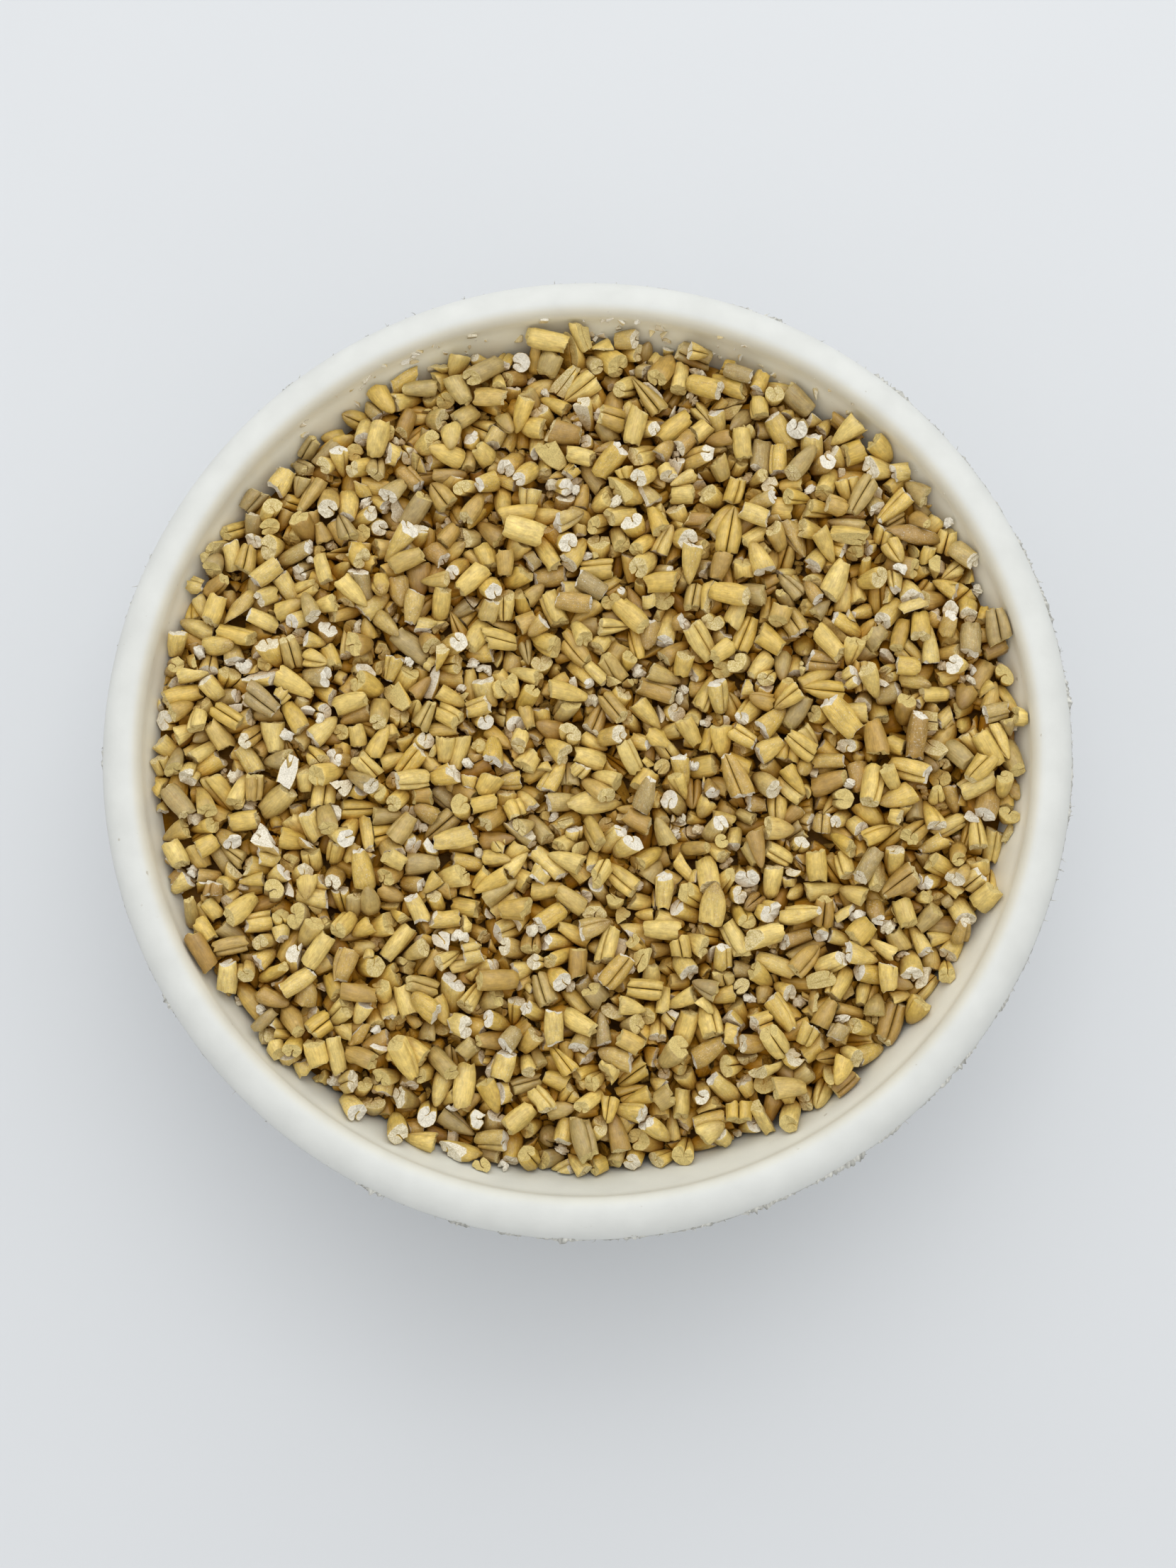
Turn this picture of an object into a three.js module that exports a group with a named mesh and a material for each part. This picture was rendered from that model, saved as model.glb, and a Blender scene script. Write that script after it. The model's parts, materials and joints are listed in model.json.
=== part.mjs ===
// A small moulded-fibre bowl filled almost to the brim with steel-cut oats.
// Millimetres, +Z up. The origin is the middle of the bowl's foot, on the surface that it stands on.
import * as THREE from "three";

// ---- the bowl's driving dimensions ----
const RIM_RADIUS = 57.5; // out to the edge of the turned-down lip
const BOWL_HEIGHT = 42;
const FIBRE = 1; // thickness of the moulded fibre
const FACETS = 52; // flats round the bowl
const LIP_DROP = 3.3; // how far the lip curls down from the top of the rim
const LIP_REACH = 3; // how far the lip stands out from the top of the rim
const RIM_ROUND = 1.6; // the turn between the neck and the top of the rim
const NECK_HEIGHT = 2.3; // the almost upright band under the rim
const NECK_LEAN = 0.4;
const WALL_SWEEP = { inwards: 5, down: 14 }; // how the wall leaves the neck
const FOOT_SWEEP = 8.5; // how the wall leaves the foot
const FOOT_OUTER = 34;
const FOOT_INNER = 30;
const RECESS_RADIUS = 28; // the base inside the foot is pressed up
const RECESS_RISE = 0.8;
const WALL_STEPS = 5;
const TURN_STEPS = 2;
const LIP_STEPS = 3;

// ---- the oats' driving dimensions ----
const OATS_BELOW_RIM = 7.7; // mean level of the core at the wall, under the top of the rim
const OATS_CROWN = 0.3; // how much higher the middle lies
const OATS_FALL = 1.6; // how much lower than the mean the oats lie on one side, and higher opposite
const FALL_BEARING = THREE.MathUtils.degToRad(-58); // the low side, turned from +X
const OATS_SADDLE = 2.8; // how much higher they lie on two opposite sides, and lower between them
const SADDLE_BEARING = THREE.MathUtils.degToRad(15); // one of the high sides, turned from +X
const WALL_GAP = 0.3; // clearance between the oats and the bowl
const PIECE_COUNT = 480; // cut pieces that show, the largest placed first
const MOST_TRIES = 4000;
const PIECE_LENGTH = { largest: 5.4, smallest: 2.4 };
const PIECE_WIDTH = { largest: 2.9, smallest: 2 };
const PIECE_SPACING = 0.12;
const PIECE_HEIGHT = { least: 1, most: 1.9 }; // above the core
const SETTLING = 0.25; // how much deeper or higher one piece lies than the next
const MOST_TILT = 0.2; // rise over half the length
const MOST_ROLL = 0.3; // rise over half the width
const SIDE_LEAN = 0.78; // width across the shoulders over the width at the core
const END_LEAN = 0.94; // length at the shoulders over the length at the core
const CREASE_SHARE = 0.6; // pieces that lie with the crease up
const CREASE_FLOOR = 0.62; // height of the crease over the height of the shoulders
const BACK_RIDGE = 1.12; // height of the rounded back over the height of the shoulders
const TIP_SHARE = 0.4; // pieces that keep a tapered end of the groat
const TIP_TAPER = 0.5;
const SEED = 7;

const TURN = 2 * Math.PI;

// ---- helpers ----
function seededRandom(seed) {
  let state = seed;
  return () => {
    state = (state + 0x6d2b79f5) | 0;
    let mixed = Math.imul(state ^ (state >>> 15), 1 | state);
    mixed = (mixed + Math.imul(mixed ^ (mixed >>> 7), 61 | mixed)) ^ mixed;
    return ((mixed ^ (mixed >>> 14)) >>> 0) / 4294967296;
  };
}

const { lerp } = THREE.MathUtils;
const spread = (random) => 2 * random() - 1; // from -1 to 1

// ---- bowl ----
// The middle of the fibre: over the base and up the wall to the neck, and then round the rim.
function fibreLine() {
  const half = FIBRE / 2;
  const rimTop = RIM_RADIUS - half - LIP_REACH;
  const neckTop = new THREE.Vector2(rimTop - RIM_ROUND, BOWL_HEIGHT - half - RIM_ROUND);
  const wallTop = new THREE.Vector2(neckTop.x - NECK_LEAN, neckTop.y - NECK_HEIGHT);
  const base = [
    new THREE.Vector2(0, half + RECESS_RISE),
    new THREE.Vector2(RECESS_RADIUS, half + RECESS_RISE),
    new THREE.Vector2(FOOT_INNER, half),
    new THREE.Vector2(FOOT_OUTER, half),
  ];
  const wall = new THREE.CubicBezierCurve(
    new THREE.Vector2(FOOT_OUTER, half),
    new THREE.Vector2(FOOT_OUTER + FOOT_SWEEP, half),
    new THREE.Vector2(wallTop.x - WALL_SWEEP.inwards, wallTop.y - WALL_SWEEP.down),
    wallTop,
  );
  const turn = new THREE.EllipseCurve(rimTop, neckTop.y, RIM_ROUND, RIM_ROUND, Math.PI, Math.PI / 2, true);
  const lip = new THREE.EllipseCurve(
    rimTop, BOWL_HEIGHT - half - LIP_DROP, LIP_REACH, LIP_DROP, Math.PI / 2, 0, true,
  );
  return {
    vessel: [...base, ...wall.getPoints(WALL_STEPS).slice(1), neckTop],
    rim: [...turn.getPoints(TURN_STEPS).slice(1), ...lip.getPoints(LIP_STEPS).slice(1)],
  };
}

// A line moved sideways by a distance, towards the inside of the bowl when positive.
function offsetLine(line, distance) {
  return line.map((point, i) => {
    const incoming = point.clone().sub(line[Math.max(i - 1, 0)]).normalize();
    const outgoing = line[Math.min(i + 1, line.length - 1)].clone().sub(point).normalize();
    const along = incoming.clone().add(outgoing).normalize();
    const reach = distance / along.dot(i ? incoming : outgoing);
    return new THREE.Vector2(i ? point.x - along.y * reach : 0, point.y + along.x * reach);
  });
}

function makeBowl() {
  const { vessel, rim } = fibreLine();
  const line = [...vessel, ...rim];
  const outside = offsetLine(line, -FIBRE / 2);
  const inside = offsetLine(line, FIBRE / 2);
  const mesh = new THREE.Mesh(
    new THREE.LatheGeometry([...outside, ...inside.reverse()], FACETS).rotateX(Math.PI / 2),
    new THREE.MeshStandardMaterial({ color: 0xe9e8e0, roughness: 0.78, metalness: 0 }),
  );
  mesh.name = "bowl";
  return mesh;
}

// ---- oats: the level of the core and where it meets the wall ----
function coreLevel(x, y) {
  const share = Math.hypot(x, y) / RIM_RADIUS;
  const bearing = Math.atan2(y, x);
  const crown = OATS_CROWN * (1 - share ** 2);
  const fall = OATS_FALL * share * Math.cos(bearing - FALL_BEARING);
  const saddle = OATS_SADDLE * share ** 2 * Math.cos(2 * (bearing - SADDLE_BEARING));
  return BOWL_HEIGHT - OATS_BELOW_RIM + crown - fall + saddle;
}

const LOWEST_LEVEL = BOWL_HEIGHT - OATS_BELOW_RIM - OATS_FALL - OATS_SADDLE;

// The radius of the oats' side at a height, where the side is a line of points that rises outwards.
function radiusAt(side, height) {
  const above = side.findIndex((point) => point.y > height);
  const [a, b] = [side[above - 1], side[above]];
  return lerp(a.x, b.x, (height - a.y) / (b.y - a.y));
}

// Where the top of the core meets its side at a bearing, as a radius and a height.
function brinkAt(side, bearing) {
  const widest = radiusAt(side, BOWL_HEIGHT - OATS_BELOW_RIM);
  const level = coreLevel(widest * Math.cos(bearing), widest * Math.sin(bearing));
  return new THREE.Vector2(radiusAt(side, level), level);
}

// ---- oats: where the cut pieces lie ----
// The outline of a piece at the core, as four corners turned anticlockwise, the tapered end first.
function outlineOf({ x, y, heading, length, width, taper }) {
  const centre = new THREE.Vector2(x, y);
  const corners = [[-1, -taper], [1, -1], [1, 1], [-1, taper]];
  return corners.map(([along, across]) =>
    new THREE.Vector2(x + (along * length) / 2, y + (across * width) / 2).rotateAround(centre, heading),
  );
}

// True where two outlines come closer than the spacing, as no edge of either parts them.
function outlinesMeet(some, others) {
  const parts = (outline, other) =>
    outline.some((corner, i) => {
      const edge = outline[(i + 1) % outline.length].clone().sub(corner).normalize();
      return other.every((point) => edge.cross(point.clone().sub(corner)) < -PIECE_SPACING);
    });
  return !parts(some, others) && !parts(others, some);
}

// The size and lie of a piece, from its share of the way from the largest to the smallest.
function drawPiece(share, random) {
  return {
    length: lerp(PIECE_LENGTH.largest, PIECE_LENGTH.smallest, share),
    width: lerp(PIECE_WIDTH.largest, PIECE_WIDTH.smallest, share),
    height: lerp(PIECE_HEIGHT.least, PIECE_HEIGHT.most, random()),
    taper: random() < TIP_SHARE ? TIP_TAPER : 1,
    middle: random() < CREASE_SHARE ? CREASE_FLOOR : BACK_RIDGE,
    tilt: spread(random) * MOST_TILT,
    roll: spread(random) * MOST_ROLL,
    settled: spread(random) * SETTLING,
  };
}

// Each piece goes to a drawn place that is clear of the wall and of the larger pieces.
function scatterPieces(side, random) {
  const reach = Math.hypot(PIECE_LENGTH.largest, PIECE_WIDTH.largest) + PIECE_SPACING;
  const flats = Math.cos(Math.PI / FACETS); // the facets run this much inside the round
  const edgeAt = (bearing) => brinkAt(side, bearing).x * flats - PIECE_SPACING;
  const pieces = [];
  for (let rank = 0; rank < PIECE_COUNT; rank += 1) {
    const piece = drawPiece(rank / PIECE_COUNT, random);
    for (let tries = 0; tries < MOST_TRIES; tries += 1) {
      const bearing = random() * TURN;
      const radius = edgeAt(bearing) * Math.sqrt(random());
      piece.heading = random() * TURN;
      piece.x = radius * Math.cos(bearing);
      piece.y = radius * Math.sin(bearing);
      const outline = outlineOf(piece);
      if (outline.some((corner) => corner.length() > edgeAt(corner.angle()))) continue;
      const near = pieces.filter((other) => Math.hypot(other.x - piece.x, other.y - piece.y) < reach);
      if (near.some((other) => outlinesMeet(outline, other.outline))) continue;
      pieces.push({ ...piece, outline });
      break;
    }
  }
  return pieces;
}

// ---- oats: the solid ----
// The vertices and triangles of one closed surface, built up part by part.
class Surface {
  vertices = [];
  triangles = [];

  add(x, y, z) {
    this.vertices.push(x, y, z);
    return this.vertices.length / 3 - 1;
  }

  face(...corners) {
    for (let i = 2; i < corners.length; i += 1) this.triangles.push(corners[0], corners[i - 1], corners[i]);
  }

  plan(index) {
    return new THREE.Vector2(this.vertices[3 * index], this.vertices[3 * index + 1]);
  }

  geometry() {
    const geometry = new THREE.BufferGeometry();
    geometry.setAttribute("position", new THREE.Float32BufferAttribute(this.vertices, 3));
    geometry.setIndex(this.triangles);
    geometry.computeVertexNormals();
    return geometry;
  }
}

// The floor and side of the core. Returns the ring of vertices round its upper edge.
function addCoreSide(surface, side) {
  const ring = (pointAt) =>
    Array.from({ length: FACETS }, (_, i) => {
      const bearing = (i * TURN) / FACETS - Math.PI / 2;
      const { x: radius, y: height } = pointAt(bearing);
      return surface.add(radius * Math.cos(bearing), radius * Math.sin(bearing), height);
    });
  const lower = side.slice(1).filter((point) => point.y < LOWEST_LEVEL);
  const middle = surface.add(0, 0, side[0].y);
  const rings = [...lower.map((point) => ring(() => point)), ring((bearing) => brinkAt(side, bearing))];
  for (let i = 0; i < FACETS; i += 1) {
    const next = (i + 1) % FACETS;
    surface.face(middle, rings[0][next], rings[0][i]);
    rings.slice(1).forEach((upper, k) => surface.face(rings[k][i], rings[k][next], upper[next], upper[i]));
  }
  return rings[rings.length - 1];
}

// The part of a piece that stands out of the core. Returns its corners at the core.
function addPiece(surface, piece) {
  const base = coreLevel(piece.x, piece.y) + piece.settled;
  const foot = piece.outline.map((corner) => surface.add(corner.x, corner.y, base));
  const upper = (along, across, height) => {
    const width = piece.width * lerp(piece.taper, 1, (along + 1) / 2) * SIDE_LEAN;
    const x = (along * piece.length * END_LEAN) / 2;
    const y = (across * width) / 2;
    const rise = piece.height * height + along * piece.tilt + across * piece.roll;
    const [cos, sin] = [Math.cos(piece.heading), Math.sin(piece.heading)];
    return surface.add(piece.x + x * cos - y * sin, piece.y + x * sin + y * cos, base + rise);
  };
  const [tipRight, tipMiddle, tipLeft] = [upper(-1, -1, 1), upper(-1, 0, piece.middle), upper(-1, 1, 1)];
  const [endRight, endMiddle, endLeft] = [upper(1, -1, 1), upper(1, 0, piece.middle), upper(1, 1, 1)];
  surface.face(foot[0], foot[1], endRight, tipRight);
  surface.face(foot[2], foot[3], tipLeft, endLeft);
  surface.face(endMiddle, endRight, foot[1], foot[2], endLeft);
  surface.face(tipMiddle, tipLeft, foot[3], foot[0], tipRight);
  surface.face(tipRight, endRight, endMiddle, tipMiddle);
  surface.face(tipMiddle, endMiddle, endLeft, tipLeft);
  return foot;
}

// The top of the core between the pieces.
function addCoreTop(surface, ring, feet) {
  const inPlan = (indices) => indices.map((index) => surface.plan(index));
  const indices = [...ring, ...feet.flat()];
  THREE.ShapeUtils.triangulateShape(inPlan(ring), feet.map(inPlan)).forEach(([a, b, c]) =>
    surface.face(indices[a], indices[b], indices[c]),
  );
}

function makeOats() {
  const surface = new Surface();
  const side = offsetLine(fibreLine().vessel, FIBRE / 2 + WALL_GAP);
  const ring = addCoreSide(surface, side);
  const feet = scatterPieces(side, seededRandom(SEED)).map((piece) => addPiece(surface, piece));
  addCoreTop(surface, ring, feet);
  const mesh = new THREE.Mesh(
    surface.geometry(),
    new THREE.MeshStandardMaterial({ color: 0xc8a860, roughness: 0.62, metalness: 0 }),
  );
  mesh.name = "oats";
  return mesh;
}

const bowlOfOats = new THREE.Group();
bowlOfOats.name = "bowl_of_oats";
bowlOfOats.add(makeBowl(), makeOats());

export default bowlOfOats;
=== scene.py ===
"""A small bowl of moulded plant fibre, filled almost to the brim with steel-cut oats.

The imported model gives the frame: metres, +Z up, the middle of the foot at the origin. The bowl
is turned from its section. The oats are cut from whole groats, dropped into the bowl, left to
settle and joined into one mesh for each kind of piece.
"""

import json
import math
from functools import partial

import bmesh
import bpy
import numpy as np
from bpy.props import FloatProperty, FloatVectorProperty, IntProperty, PointerProperty
from bpy.types import Operator, Panel, PropertyGroup
from mathutils import Matrix, Vector
from mathutils.bvhtree import BVHTree

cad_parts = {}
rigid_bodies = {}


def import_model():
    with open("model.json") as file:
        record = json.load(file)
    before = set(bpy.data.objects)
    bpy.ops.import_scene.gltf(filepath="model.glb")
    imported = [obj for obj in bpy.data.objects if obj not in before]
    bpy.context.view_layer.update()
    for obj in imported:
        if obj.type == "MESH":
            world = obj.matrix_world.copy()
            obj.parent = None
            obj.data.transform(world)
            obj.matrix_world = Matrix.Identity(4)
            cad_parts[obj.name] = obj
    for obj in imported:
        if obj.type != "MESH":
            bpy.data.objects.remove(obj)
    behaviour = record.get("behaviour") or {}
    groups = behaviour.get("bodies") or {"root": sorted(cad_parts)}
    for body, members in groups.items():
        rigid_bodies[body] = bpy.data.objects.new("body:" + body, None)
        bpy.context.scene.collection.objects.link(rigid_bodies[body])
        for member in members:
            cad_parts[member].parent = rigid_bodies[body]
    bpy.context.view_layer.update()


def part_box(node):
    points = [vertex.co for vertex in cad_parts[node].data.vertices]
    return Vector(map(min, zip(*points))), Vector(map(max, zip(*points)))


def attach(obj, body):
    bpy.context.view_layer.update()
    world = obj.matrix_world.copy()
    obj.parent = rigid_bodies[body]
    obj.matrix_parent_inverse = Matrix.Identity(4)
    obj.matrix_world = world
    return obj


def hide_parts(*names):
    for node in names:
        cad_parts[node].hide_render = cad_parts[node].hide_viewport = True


bl_info = {
    "name": "Bowl of Cut Oats",
    "version": (1, 0, 0),
    "blender": (4, 5, 0),
    "location": "3D View > Sidebar > Oats",
    "description": "Makes a moulded-fibre bowl filled with steel-cut oats",
    "category": "Add Mesh",
}

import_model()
BOWL_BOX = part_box("bowl")
RIM_EDGE = BOWL_BOX[1].x  # how far out the lip reaches
RIM_TOP = BOWL_BOX[1].z

MM = 0.001
TURN = 2 * math.pi


# ---------------------------------------------------------------- settings


def length(name, description, default):
    """A size in metres."""
    return FloatProperty(
        name=name, description=description, default=default, unit="LENGTH", precision=5
    )


def angle(name, description, degrees):
    """A turn, given in degrees."""
    default = math.radians(degrees)
    return FloatProperty(name=name, description=description, default=default, unit="ROTATION")


def power(name, description, default):
    """The power of a light."""
    return FloatProperty(name=name, description=description, default=default, unit="POWER")


def whole(name, description, default, least=0):
    """A whole number."""
    return IntProperty(name=name, description=description, default=default, min=least)


def colour(name, description, default):
    """A colour in linear light."""
    return FloatVectorProperty(
        name=name, description=description, default=default, subtype="COLOR", size=3, min=0, max=1
    )


class FibreBowlSettings(PropertyGroup):
    """Sizes and colours of the bowl."""

    radius: length("Radius", "From the middle out to the edge of the lip", RIM_EDGE - 0.45 * MM)
    height: length("Height", "From the foot to the top of the rim", RIM_TOP - 0.05 * MM)
    fibre: length("Fibre", "Thickness of the moulded fibre", 1 * MM)
    lip_drop: length("Lip Drop", "How far the lip curls down from the top of the rim", 3.3 * MM)
    lip_reach: length("Lip Reach", "How far the lip stands out from the top of the rim", 3.1 * MM)
    rim_round: length("Rim Round", "The turn between the neck and the top of the rim", 1.0 * MM)
    neck_height: length("Neck Height", "The almost upright band under the rim", 2.3 * MM)
    neck_lean: length("Neck Lean", "How far the neck leans out over its height", 0.4 * MM)
    foot_outer: length("Foot Outer", "Outer radius of the foot", 34 * MM)
    foot_inner: length("Foot Inner", "Inner radius of the foot", 30 * MM)
    recess_radius: length("Recess Radius", "Radius of the base pressed up inside the foot", 28 * MM)
    recess_rise: length("Recess Rise", "How far the base is pressed up", 0.8 * MM)
    waver: length("Waver", "How far the rim strays from a true circle", 0.12 * MM)
    trim_rough: length("Trim Roughness", "How far torn fibres stand out of the trim", 0.3 * MM)
    tufts: whole("Tufts", "Larger torn clumps along the trimmed edge", 64)
    tuft: length("Tuft", "How far the largest torn clump stands out", 0.7 * MM)
    whiskers: whole("Whiskers", "Fibre ends along the trimmed edge", 240)
    whisker: length("Whisker", "Length of the longest fibre end", 0.75 * MM)
    seed: whole("Seed", "Draws the fibre ends and the waver", 11)
    fibre_colour: colour("Fibre Colour", "The moulded fibre", (0.605, 0.617, 0.592))
    fleck_colour: colour("Fleck Colour", "Sparse darker flecks of husk", (0.33, 0.28, 0.20))
    # painted shade: the dust of the neck is darker, as shade under the rim
    neck_dust_and_shade: colour("Neck Dust", "The dusted neck under the rim", (0.60, 0.572, 0.475))
    # painted light: the dust is much brighter and warmer on the far side, like light shining
    # through the fibre
    far_dust_and_glow: colour("Far Dust", "The dusted wall on the far side", (0.78, 0.74, 0.585))
    # painted light: the dust is brighter on the left and right
    side_dust_and_light: colour("Side Dust", "The dusted wall on the left and right", (0.78, 0.75, 0.64))
    # painted shade: the dust is duller on the near side than on the far side and the sides
    near_dust_and_shade: colour("Near Dust", "The dusted wall on the near side", (0.63, 0.635, 0.575))
    # partly painted shade: the torn fibres are darker than the fibre, as shade under the lip
    torn_fibre_and_shade: colour("Trim Colour", "The torn fibres of the trimmed edge", (0.50, 0.50, 0.46))


class CutOatSettings(PropertyGroup):
    """Sizes, numbers and colours of the oats."""

    level: length("Level", "Mean depth of the bed at the wall, under the rim", 7.25 * MM)
    crown: length("Crown", "How much higher the middle of the bed lies", -1.0 * MM)
    fall: length("Fall", "How much lower it lies on the low side, and higher opposite", 1.6 * MM)
    fall_bearing: angle("Fall Bearing", "The low side, turned from +X", -58)
    saddle: length("Saddle", "How much higher on two sides, and lower between them", 2.5 * MM)
    saddle_bearing: angle("Saddle Bearing", "One of the high sides, turned from +X", 15)
    wall_gap: length("Wall Gap", "Clearance between the bed and the bowl", 0.3 * MM)
    count: whole("Count", "Cut pieces dropped into the bowl", 3350, 1)
    width: length("Width", "Width of a whole groat", 2.62 * MM)
    depth: length("Depth", "Thickness of a whole groat, from the crease to the back", 2.3 * MM)
    groat: length("Groat Length", "Length of a whole groat", 8.2 * MM)
    frames: whole("Frames", "Steps that the pieces are given to settle", 40, 1)
    stuck_crumbs: whole("Stuck Crumbs", "Fine crumbs on the wall", 76)
    stuck_bearing: angle("Stuck Bearing", "Where most of them cling, turned from +X", 92)
    seed: whole("Seed", "Draws the shapes and the way they fall", 5)
    pale_skin: colour("Pale Skin", "The lightest groats", (0.70, 0.53, 0.17))
    golden_skin: colour("Golden Skin", "Most of the groats", (0.60, 0.405, 0.078))
    brown_skin: colour("Brown Skin", "The darkest groats", (0.34, 0.19, 0.04))
    grey_skin: colour("Grey Skin", "Dull greyish groats", (0.37, 0.27, 0.105))
    flour: colour("Flour", "Chalky cut faces", (0.76, 0.715, 0.60))
    horn: colour("Horn", "Glassy cut faces", (0.60, 0.47, 0.175))
    # painted shade: darkens the colour deep in the gaps between the pieces
    gap_shade: colour("Gap Tint", "Multiplies the colour deep in the gaps", (0.66, 0.42, 0.11))
    tip: colour("Tip", "The wrinkled germ end", (0.20, 0.10, 0.025))


class StageSettings(PropertyGroup):
    """The surface, the light and the camera."""

    floor_size: length("Floor Size", "Side of the square surface", 12.0)
    floor_colour: colour("Floor Colour", "The pale surface", (0.60, 0.62, 0.64))
    camera_distance: length("Camera Distance", "From the camera to the rim", 0.25)
    camera_tilt: angle("Camera Tilt", "Away from straight down", 8.4)
    camera_bearing: angle("Camera Bearing", "Side from which the camera looks", -82)
    focal_length: FloatProperty(
        name="Focal Length", description="Of the lens, in millimetres", default=48.85
    )
    window_width: length("Window Width", "Side of the large soft light on the far side", 1.2)
    window_power: power("Window Power", "Of the large soft light", 3.8)
    lamp_width: length("Lamp Width", "Side of the small light, which gives the glints", 0.4)
    lamp_power: power("Lamp Power", "Of the small light", 0.95)
    sky: FloatProperty(
        name="Sky", description="Strength of the even light from all round", default=0.91
    )


# ---------------------------------------------------------------- meshes


# how many numbers a vertex has: the kind of attribute, and the field that holds them
FIELDS = {1: ("FLOAT", "value"), 3: ("FLOAT_VECTOR", "vector"), 4: ("FLOAT_COLOR", "color")}


def add_piece(name, vertices, faces, material, node, values, flat_faces=None):
    """A mesh object that rides on the body and stands for a solid of the frame.

    The values are what its material reads at each vertex: a number, a vector or a colour.
    """
    mesh = bpy.data.meshes.new(name)
    mesh.from_pydata(np.asarray(vertices), [], faces, shade_flat=False)
    for label, data in values.items():
        data = np.asarray(data, np.float32).reshape(len(vertices), -1)
        kind, field = FIELDS[data.shape[1]]
        mesh.attributes.new(label, kind, "POINT").data.foreach_set(field, data.ravel())
    if flat_faces is not None:
        mesh.attributes.new("sharp_face", "BOOLEAN", "FACE").data.foreach_set("value", flat_faces)
    mesh.materials.append(material)
    mesh.update()
    piece = bpy.data.objects.new(name, mesh)
    bpy.context.scene.collection.objects.link(piece)
    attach(piece, "root")
    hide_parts(node)
    return piece


def round_angles(around):
    return np.arange(around) * TURN / around


def ring_points(radius, angles, height):
    """Points round a ring, whose radius and height may vary."""
    x, y = radius * np.cos(angles), radius * np.sin(angles)
    return np.column_stack((x, y, np.broadcast_to(height, angles.shape)))


def band(lower, upper, around):
    """Quads between two rings, each given by the number of its first vertex."""
    step = np.arange(around)
    beside = (step + 1) % around
    return np.column_stack((lower + step, lower + beside, upper + beside, upper + step))


def turned_faces(rings, around, closed=False):
    """Quads between all the rings that follow one another from the first vertex on."""
    pairs = range(rings if closed else rings - 1)
    return np.vstack([band(ring * around, (ring + 1) % rings * around, around) for ring in pairs])


def fan(middle, ring, around, turned=False):
    """Triangles from one vertex to a ring, or the other way round when turned."""
    step = np.arange(around)
    beside = (step + 1) % around
    sides = (ring + beside, ring + step) if turned else (ring + step, ring + beside)
    return np.column_stack((np.full(around, middle), *sides)).tolist()


def unit(vector):
    return vector / np.linalg.norm(vector)


def waves(angles, count, rng, roughness=1.0):
    """A smooth closed wave of height about one round a circle, from a few sines."""
    total = np.zeros_like(angles)
    for order in range(1, count + 1):
        total += rng.normal() * np.sin(order * angles + rng.uniform(0, TURN)) / order**roughness
    return total / 2


# ---------------------------------------------------------------- materials


class Nodes:
    """A short hand for building one material's nodes."""

    def __init__(self, name):
        self.material = bpy.data.materials.new(name)
        self.material.use_nodes = True
        self.tree = self.material.node_tree
        self.shader = self.tree.nodes["Principled BSDF"]

    def add(self, kind, inputs=None, **settings):
        node = self.tree.nodes.new(kind)
        for key, value in settings.items():
            setattr(node, key, value)
        for key, value in (inputs or {}).items():
            self.feed(node.inputs[key], value)
        return node

    def feed(self, socket, value):
        if isinstance(value, bpy.types.NodeSocket):
            self.tree.links.new(value, socket)
        else:
            socket.default_value = value

    def value(self, label):
        """The attribute's number."""
        return self.add("ShaderNodeAttribute", attribute_name=label).outputs["Fac"]

    def vector(self, label):
        """The attribute's vector or colour."""
        return self.add("ShaderNodeAttribute", attribute_name=label).outputs["Color"]

    def math(self, operation, first, second=0.0, clamp=False):
        inputs = {0: first, 1: second}
        return self.add("ShaderNodeMath", inputs, operation=operation, use_clamp=clamp).outputs[0]

    def mix(self, factor, first, second, blend="MIX"):
        node = self.add("ShaderNodeMix", data_type="RGBA", blend_type=blend)
        self.feed(node.inputs[0], factor)
        self.feed(node.inputs[6], first)
        self.feed(node.inputs[7], second)
        return node.outputs[2]

    def tint(self, first, second):
        """One colour multiplied by another."""
        return self.mix(1.0, first, second, "MULTIPLY")

    def grey(self, shade):
        inputs = dict.fromkeys(("Red", "Green", "Blue"), shade)
        return self.add("ShaderNodeCombineColor", inputs).outputs[0]

    def noise(self, place, scale, detail=2.0, roughness=0.5):
        inputs = {"Vector": place, "Scale": scale, "Detail": detail, "Roughness": roughness}
        return self.add("ShaderNodeTexNoise", inputs).outputs["Fac"]

    def stretch(self, place, factors):
        inputs = {0: place, 1: factors}
        return self.add("ShaderNodeVectorMath", inputs, operation="MULTIPLY").outputs[0]

    def ramp(self, factor, low, high, bottom=0.0, top=1.0):
        """A straight ramp of the factor from low to high."""
        inputs = {"Value": factor, "From Min": low, "From Max": high}
        inputs |= {"To Min": bottom, "To Max": top}
        return self.add("ShaderNodeMapRange", inputs).outputs["Result"]

    def bump(self, height, distance, strength=1.0, normal=None):
        inputs = {"Height": height, "Distance": distance, "Strength": strength}
        if normal is not None:
            inputs["Normal"] = normal
        return self.add("ShaderNodeBump", inputs).outputs["Normal"]

    def surface(self, inputs):
        """Feeds the shader's own sockets, and returns the finished material."""
        for key, value in inputs.items():
            self.feed(self.shader.inputs[key], value)
        return self.material


def rgba(colour_value):
    return (*colour_value, 1.0)


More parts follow.
